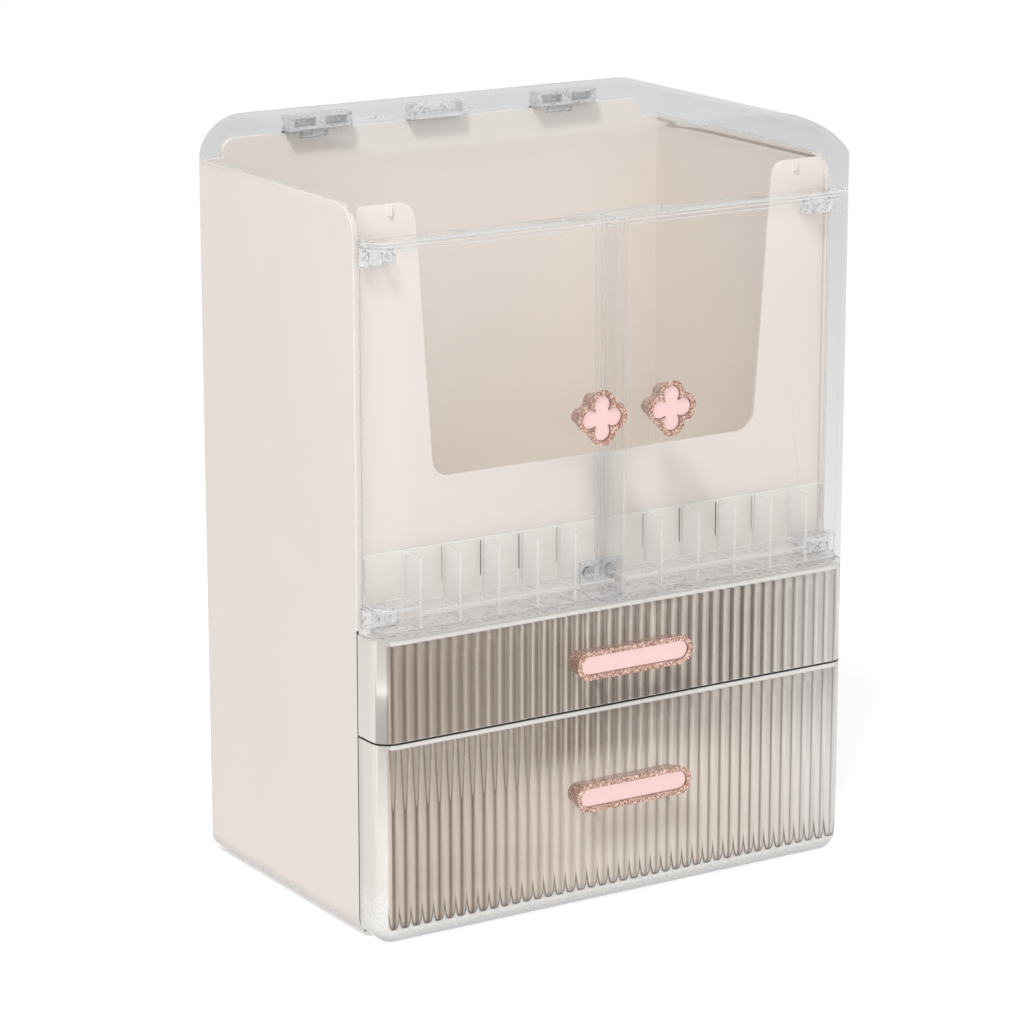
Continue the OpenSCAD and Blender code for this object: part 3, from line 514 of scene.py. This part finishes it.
def makeGlitter(name, look):
    finish, tree = newFinish(name)
    flakes, chance = fineCells(tree, look["flakeSize"])
    # each flake's chance colour leans its face aside
    lean = addNode(tree, "ShaderNodeVectorMath", {0: flakes["Color"], 1: (0.5, 0.5, 0.5)},
                   operation="SUBTRACT")
    lean = addNode(tree, "ShaderNodeVectorMath", {0: lean.outputs["Vector"], "Scale": look["tilt"]},
                   operation="SCALE")
    upright = addNode(tree, "ShaderNodeNewGeometry").outputs["Normal"]
    leant = addNode(tree, "ShaderNodeVectorMath", {0: upright, 1: lean.outputs["Vector"]},
                    operation="ADD")
    leant = addNode(tree, "ShaderNodeVectorMath", {0: leant.outputs["Vector"]},
                    operation="NORMALIZE")
    shader = addSurface(tree, {
        **look["gloss"],
        "Base Color": colourRamp(tree, chance["Red"], look["flakes"]),
        "Normal": leant.outputs["Vector"],
    })
    closeTree(tree, lampsPass(tree, shader, look["shadow"]))
    return finish


# Pink enamel: soft gloss with a faint waviness
pinkInlay = {
    "gloss": {"Roughness": 0.34, "Coat Weight": 0.5, "Coat Roughness": 0.12},
    "tint": ((0.3, (0.780, 0.515, 0.498)), (0.7, (0.805, 0.548, 0.530))),
    "shadow": (0.72, 0.68, 0.67),
    "waveSize": 0.004,
    "waveDepth": 0.00002,
}


def makePink(name, look):
    finish, tree = newFinish(name)
    wave = fineNoise(tree, look["waveSize"], detail=2.0)
    shader = addSurface(tree, {
        **look["gloss"],
        "Base Color": colourRamp(tree, wave, look["tint"]),
        "Normal": bumpFrom(tree, wave, look["waveDepth"]),
    })
    closeTree(tree, lampsPass(tree, shader, look["shadow"]))
    return finish


# Bright steel of the screws, discs and magnets, with fine turning marks
steelPin = {
    "base": {"Metallic": 1.0},
    "shade": (0.62, 0.63, 0.65),
    "deep": 0.85,
    "grainSize": 0.00025,
    "stretch": (0.06, 1, 1),
    "grainDepth": 0.000004,
    "roughness": (0.22, 0.38),
}
# Soft rubber of the feet
rubberFoot = {
    "base": {"Specular IOR Level": 0.3},
    "shade": (0.60, 0.56, 0.51),
    "deep": 0.88,
    "grainSize": 0.0006,
    "stretch": (1, 1, 1),
    "grainDepth": 0.00005,
    "roughness": (0.72, 0.9),
}
# Dull deep painted shade behind the fronts' sides, and a lighter painted shade in the grooves of
# the walls
gapShade = dict(rubberFoot, shade=(0.030, 0.026, 0.023), grainDepth=0.00002)
grooveShade = dict(gapShade, shade=(0.16, 0.12, 0.09))


def makeGrained(name, look):
    finish, tree = newFinish(name)
    grain = fineNoise(tree, look["grainSize"], stretch=look["stretch"])
    closeTree(tree, addSurface(tree, {
        **look["base"],
        "Base Color": mottled(tree, grain, look),
        "Roughness": spread(tree, grain, *look["roughness"]),
        "Normal": bumpFrom(tree, grain, look["grainDepth"]),
    }))
    return finish


creamFinish = makeCream("creamPlastic", creamWall)
sheetFinish = makeClear("clearSheetPlastic", clearSheet)
rackFinish = makeClear("clearRackPlastic", clearRack)
blockFinish = makeBlock("clearBlockPlastic", clearBlock)
hingeFinish = makeBlock("lidHingePlastic", hingeBlock)
floorFinish = makeBlock("doorFloorPlastic", doorFloor)
topFlutedFinish = makeFluted("topFlutedPlastic", flutedFront, topPaintedStripes)
bottomFlutedFinish = makeFluted("bottomFlutedPlastic", flutedFront, bottomPaintedStripes)
glitterFinish = makeGlitter("roseGlitter", glitterRim)
barFinish = makeGlitter("handleGlitter", glitterBar)
pinkFinish = makePink("pinkEnamel", pinkInlay)
steelFinish = makeGrained("brightSteel", steelPin)
rubberFinish = makeGrained("feetRubber", rubberFoot)
edgeHighlightFinish = makeEdgeHighlight("clearEdgePaintedHighlight", clearEdgeHighlight)
rackEdgeHighlightFinish = makeEdgeHighlight("rackEdgePaintedHighlight", rackEdgeHighlight)
gapFinish = makeGrained("gapShade", gapShade)
grooveFinish = makeGrained("grooveShade", grooveShade)
print("finishes made")


# Which finish each node of the cabinet, lid, doors and drawers takes. The clear ones take
# a second one, a painted highlight, for their rounded edges, and what is left is steel
walls = ("cabinet_shell", "compartment_floor", "drawer_shelf", "front_board")
doors = ("left_door_panel", "right_door_panel")
racks = ("left_lipstick_rack", "right_lipstick_rack")
trays = ("top_drawer_tray", "bottom_drawer_tray")
fronts = ("top_drawer_front", "bottom_drawer_front")
brackets = ("left_top_bracket", "left_bottom_bracket", "right_top_bracket",
            "right_bottom_bracket", "bracket_screws")
blocks = (*brackets, "door_catch", "left_door_pins", "right_door_pins")
lidHinges = ("left_lid_hinge", "right_lid_hinge", "lid_hinge_pins")
finishOf = {
    creamFinish: walls,
    sheetFinish: ("lid_cover", *doors, *trays),
    rackFinish: racks,
    blockFinish: blocks,
    hingeFinish: lidHinges,
    topFlutedFinish: fronts[:1],
    bottomFlutedFinish: fronts[1:],
    glitterFinish: ("left_knob_rim", "right_knob_rim"),
    barFinish: ("top_handle_rim", "bottom_handle_rim"),
    pinkFinish: ("left_knob_inlay", "right_knob_inlay", "top_handle_inlay", "bottom_handle_inlay"),
    rubberFinish: ("rubber_feet",),
}
mainFinish = {name: finish for finish, names in finishOf.items() for name in names}
edgeOf = dict.fromkeys(("lid_cover", *doors, *trays, *fronts, *blocks, *lidHinges), edgeHighlightFinish)
edgeOf.update(dict.fromkeys((*racks, *brackets), rackEdgeHighlightFinish))
for name, node in nodes.items():
    node.data.materials.clear()
    node.data.materials.append(mainFinish.get(name, steelFinish))
    if name in edgeOf:
        node.data.materials.append(edgeOf[name])


def giveFaces(name, finish, chosen):
    # faces of a node for which chosen(middle, normal) is true take their own finish
    mesh = nodes[name].data
    mesh.materials.append(finish)
    for face in mesh.polygons:
        if chosen(face.center, face.normal):
            face.material_index = len(mesh.materials) - 1


def between(value, limits):
    return limits[0] < value < limits[1]


# painted shade: the back ends of the fronts' sides are painted dark, for the shade beside the cream
# walls
sideEnds = {"facing": 0.9, "aside": 0.1254, "depth": -0.06}
for name in fronts:
    giveFaces(name, gapFinish, lambda at, normal: normal.y > sideEnds["facing"]
              and abs(at.x) > sideEnds["aside"] and at.y > sideEnds["depth"])
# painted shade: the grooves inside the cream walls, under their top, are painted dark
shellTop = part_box("cabinet_shell")[1][2]
grooves = {"aside": (0.1271, 0.1283), "depth": (-0.035, 0.084),
           "height": (shellTop - 0.0135, shellTop - 0.0105)}
giveFaces("cabinet_shell", grooveFinish, lambda at, normal: between(abs(at.x), grooves["aside"])
          and between(at.y, grooves["depth"]) and between(at.z, grooves["height"]))
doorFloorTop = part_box("left_door_panel")[0][2] + 0.0026
for name in doors:
    giveFaces(name, floorFinish, lambda at, normal: at.z < doorFloorTop)
# the small tab under the lid, between its hinges
lidTab = {"across": (-0.0192, 0.0112), "depth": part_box("lid_cover")[1][1] - 0.012,
          "height": (0.345, 0.3584)}
giveFaces("lid_cover", hingeFinish, lambda at, normal: between(at.x, lidTab["across"])
          and at.y > lidTab["depth"] and between(at.z, lidTab["height"]))
print("finishes given to the nodes")


# The lid's smooth front corners and the ends of its back wall have no edge lines, and the
# fronts have them only round their faces
lidCorners = {
    "back": {"aside": 0.108, "depth": 0.078, "height": 0.34},
    "front": {"aside": (0.104, 0.1292), "depth": -0.043, "height": 0.329},
}
frontRim = {"depth": -0.0777, "aside": 0.1297}


def besideLidCorners(at):
    back, front = lidCorners["back"], lidCorners["front"]
    if abs(at.x) > back["aside"] and at.y > back["depth"] and at.z > back["height"]:
        return False
    return (abs(at.x) < front["aside"][0] or abs(at.x) > front["aside"][1]
            or at.y > front["depth"] or at.z < front["height"])


def onFrontFace(at):
    return at.y < frontRim["depth"] or abs(at.x) > frontRim["aside"]


# Every moulded edge gets a small round, which catches a line of light; where "bright" is on,
# the round also takes the painted highlight finish. Widths are in metres and angles in degrees.
# "shrink" draws a piece in a little, so that its faces don't lie in its neighbours' faces, and
# "kept" chooses the edges by their middle
anyRound = {
    "join": 0.000002, "width": 0.00035, "segments": 2, "angle": 60, "bright": True, "kept": None,
    "shrink": 0.0, "flat": 0.4, "parts": set(), "even": True, "evenWeight": 80, "splitAngle": 1,
}
pullRound = dict(anyRound, width=0.0002, angle=40, bright=False, shrink=0.00002)
roundOf = {}
for names, look in (
    (walls, dict(anyRound, width=0.0004, angle=40, bright=False)),
    (("lid_cover",), dict(anyRound, flat=0.0, even=False, kept=besideLidCorners)),
    (doors, dict(anyRound, parts={"MATERIAL"})),
    (fronts, dict(anyRound, flat=0.05, kept=onFrontFace)),
    (racks + trays, dict(anyRound, angle=50, shrink=0.00003)),
    (blocks + lidHinges, dict(anyRound, width=0.0003, angle=50, shrink=0.00003)),
):
    roundOf.update(dict.fromkeys(names, look))


def markEdges(node, angle, kept):
    # weights 1 the sharp edges whose middle is kept, for the rounding
    mesh = node.data
    keyOf = [tuple(round(c, 6) for c in point.co) for point in mesh.vertices]
    normalsAt = {}
    for face in mesh.polygons:
        corners = list(face.vertices)
        for first, second in zip(corners, corners[1:] + corners[:1]):
            key = tuple(sorted((keyOf[first], keyOf[second])))
            normalsAt.setdefault(key, []).append(face.normal.copy())
    limit = math.cos(math.radians(angle))
    weights = mesh.attributes.new("bevel_weight_edge", "FLOAT", "EDGE")
    for edge in mesh.edges:
        first, second = (keyOf[place] for place in edge.vertices)
        normals = normalsAt.get(tuple(sorted((first, second))), [])
        sharp = len(normals) == 2 and normals[0].dot(normals[1]) < limit
        middle = (Vector(first) + Vector(second)) / 2
        weights.data[edge.index].value = 1.0 if sharp and kept(middle) else 0.0


def roundEdges(node, look):
    joined = node.modifiers.new("joinPoints", "WELD")
    joined.merge_threshold = look["join"]
    if look["shrink"]:
        drawnIn = node.modifiers.new("drawIn", "DISPLACE")
        drawnIn.strength = -look["shrink"]
        drawnIn.mid_level = 0.0
    if look["kept"]:
        markEdges(node, look["angle"], look["kept"])
    if look["flat"]:
        flats = node.modifiers.new("joinFlats", "DECIMATE")
        flats.decimate_type = "DISSOLVE"
        flats.delimit = look["parts"]
        flats.angle_limit = math.radians(look["flat"])
    rounded = node.modifiers.new("roundEdges", "BEVEL")
    rounded.width = look["width"]
    rounded.segments = look["segments"]
    rounded.limit_method = "WEIGHT" if look["kept"] else "ANGLE"
    rounded.angle_limit = math.radians(look["angle"])
    rounded.use_clamp_overlap = False
    rounded.material = 1 if look["bright"] else -1
    if look["even"]:
        evened = node.modifiers.new("evenNormals", "WEIGHTED_NORMAL")
        evened.keep_sharp = False
        evened.weight = look["evenWeight"]
    else:
        parted = node.modifiers.new("partFacets", "EDGE_SPLIT")
        parted.split_angle = math.radians(look["splitAngle"])


for name, node in nodes.items():
    roundEdges(node, roundOf.get(name, pullRound))
print("edges rounded")


# Floor: near white, and it keeps the soft shadow; further away it passes into white
floorLook = {"size": 24.0, "shade": (0.72, 0.72, 0.72), "lift": 0.48, "through": 0.07,
             "shadeReach": (0.30, 0.85)}


def makeFloor(look):
    half = look["size"] / 2
    mesh = bpy.data.meshes.new("studioFloor")
    mesh.from_pydata([(-half, -half, 0), (half, -half, 0), (half, half, 0), (-half, half, 0)],
                     [], [(0, 1, 2, 3)])
    floor = bpy.data.objects.new("studioFloor", mesh)
    scene.collection.objects.link(floor)
    finish, tree = newFinish("floorPaper")
    path = addNode(tree, "ShaderNodeLightPath").outputs
    through = path["Is Transmission Ray"]
    seen = calc(tree, "MAXIMUM", path["Is Camera Ray"], path["Is Glossy Ray"])
    seen = calc(tree, "SUBTRACT", seen, through, clamp=True)
    strength = calc(tree, "MULTIPLY_ADD", seen, look["lift"],
                    calc(tree, "MULTIPLY", through, look["through"]))
    paper = addNode(tree, "ShaderNodeBsdfDiffuse", {"Color": look["shade"]}).outputs["BSDF"]
    glow = addNode(tree, "ShaderNodeEmission", {"Strength": strength}).outputs["Emission"]
    near = addNode(tree, "ShaderNodeAddShader", {0: paper, 1: glow}).outputs["Shader"]
    white = addNode(tree, "ShaderNodeEmission", {"Strength": 1.0}).outputs["Emission"]
    away = addNode(tree, "ShaderNodeVectorMath", {0: objectPlace(tree)}, operation="LENGTH")
    passing = ramped(tree, away.outputs["Value"], *look["shadeReach"])
    closeTree(tree, mixShaders(tree, product(tree, passing, seen), near, white))
    mesh.materials.append(finish)


makeFloor(floorLook)
print("floor laid")


# White surroundings: dimmer as a light, and a little grey where they show through plastic
roomLook = {
    "fill": {"Color": (1, 1, 1), "Strength": 0.60},
    "backdrop": {"Color": (1, 1, 1), "Strength": 1.0},
    "through": {"Color": (0.97, 0.985, 1.0), "Strength": 0.72},
}


def makeRoom(look):
    room = bpy.data.worlds.new("studioRoom")
    scene.world = room
    room.use_nodes = True
    tree = room.node_tree
    tree.nodes.clear()
    path = addNode(tree, "ShaderNodeLightPath").outputs
    seen = calc(tree, "MAXIMUM", path["Is Camera Ray"], path["Is Glossy Ray"])
    fill, backdrop, through = (
        addNode(tree, "ShaderNodeBackground", look[part]).outputs["Background"]
        for part in ("fill", "backdrop", "through")
    )
    shown = mixShaders(tree, seen, fill, backdrop)
    shown = mixShaders(tree, path["Is Transmission Ray"], shown, through)
    addNode(tree, "ShaderNodeOutputWorld", {"Surface": shown})


makeRoom(roomLook)
print("surroundings made")


# Soft key lamp from the upper left in front, and a weak wide one from the front
lampAim = Vector((0.0, 0.0, 0.17))
keyLamp = {"toward": (-22, -21, 38), "distance": 4.0, "size": 0.6, "power": 99.0}
frontLamp = {"toward": (-10, -38, 14), "distance": 3.0, "size": 2.2, "power": 28.5}


def hangLamp(name, look):
    data = bpy.data.lights.new(name, "AREA")
    data.shape = "SQUARE"
    data.size = look["size"]
    data.energy = look["power"]
    lamp = bpy.data.objects.new(name, data)
    scene.collection.objects.link(lamp)
    toward = Vector(look["toward"]).normalized()
    lamp.location = lampAim + toward * look["distance"]
    lamp.rotation_euler = (-toward).to_track_quat("-Z", "Y").to_euler()
    lamp.visible_glossy = False
    lamp.visible_transmission = False


hangLamp("keyLamp", keyLamp)
hangLamp("frontLamp", frontLamp)
print("lamps hung")


# Camera a little above the cabinet and to its left
cameraLook = {"place": (-0.9911, -1.56305, 0.6552), "aim": (-0.06033, -0.07825, 0.19781),
              "lens": 141.15, "sensor": 36.0, "nearest": 0.05}


def setCamera(look):
    data = bpy.data.cameras.new("frontCamera")
    data.lens = look["lens"]
    data.sensor_width = look["sensor"]
    data.clip_start = look["nearest"]
    camera = bpy.data.objects.new("frontCamera", data)
    scene.collection.objects.link(camera)
    camera.location = look["place"]
    toward = Vector(look["aim"]) - Vector(look["place"])
    camera.rotation_euler = toward.to_track_quat("-Z", "Y").to_euler()
    scene.camera = camera


setCamera(cameraLook)
print("camera set")

# Rays need many steps to get through the doors, racks, trays and fronts
scene.cycles.max_bounces = 28
scene.cycles.transmission_bounces = 26
scene.cycles.transparent_max_bounces = 40
scene.cycles.diffuse_bounces = 4
scene.cycles.glossy_bounces = 6
scene.view_settings.view_transform = "Standard"
